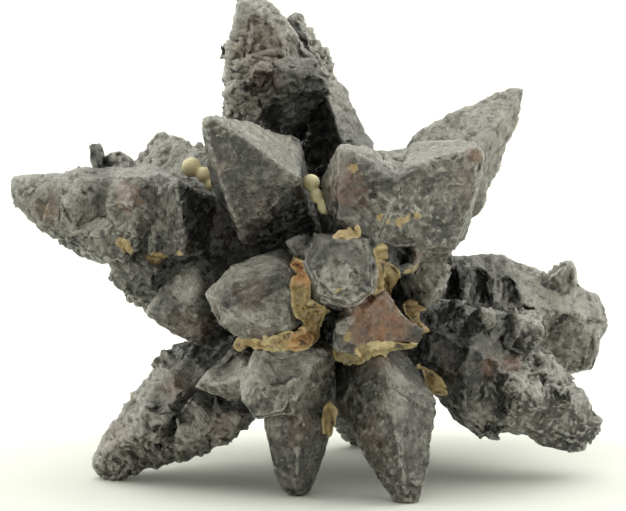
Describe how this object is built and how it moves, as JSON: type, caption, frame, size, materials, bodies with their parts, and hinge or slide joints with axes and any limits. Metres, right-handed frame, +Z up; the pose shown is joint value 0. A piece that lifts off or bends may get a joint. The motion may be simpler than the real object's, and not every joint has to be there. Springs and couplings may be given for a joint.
{
  "type": "glendonite crystal cluster",
  "caption": "Star of dark, steep four-sided crystals grown from one heart, with yellow calcite in the seams between them.",
  "frame": {"origin": "on the surface the star stands on, under the middle of its bounding box", "axes": "+Z up, +X towards the star's right as seen from its front, -Y towards the front"},
  "size_m": [0.0435, 0.0324, 0.0338],
  "materials": {
    "dark_stone": "dark grey-brown, rough with growth ledges, faintly shiny on flat faces",
    "yellow_calcite": "waxy, slightly translucent, amber to cream"
  },
  "bodies": {
    "root": {"crystal_star": "dark_stone", "calcite_seam": "yellow_calcite", "calcite_band": "yellow_calcite", "calcite_net": "yellow_calcite", "calcite_strip": "yellow_calcite", "calcite_low": "yellow_calcite", "calcite_spot": "yellow_calcite", "calcite_cap": "yellow_calcite", "calcite_beads": "yellow_calcite", "calcite_beads_left": "yellow_calcite"}
  },
  "joints": []
}
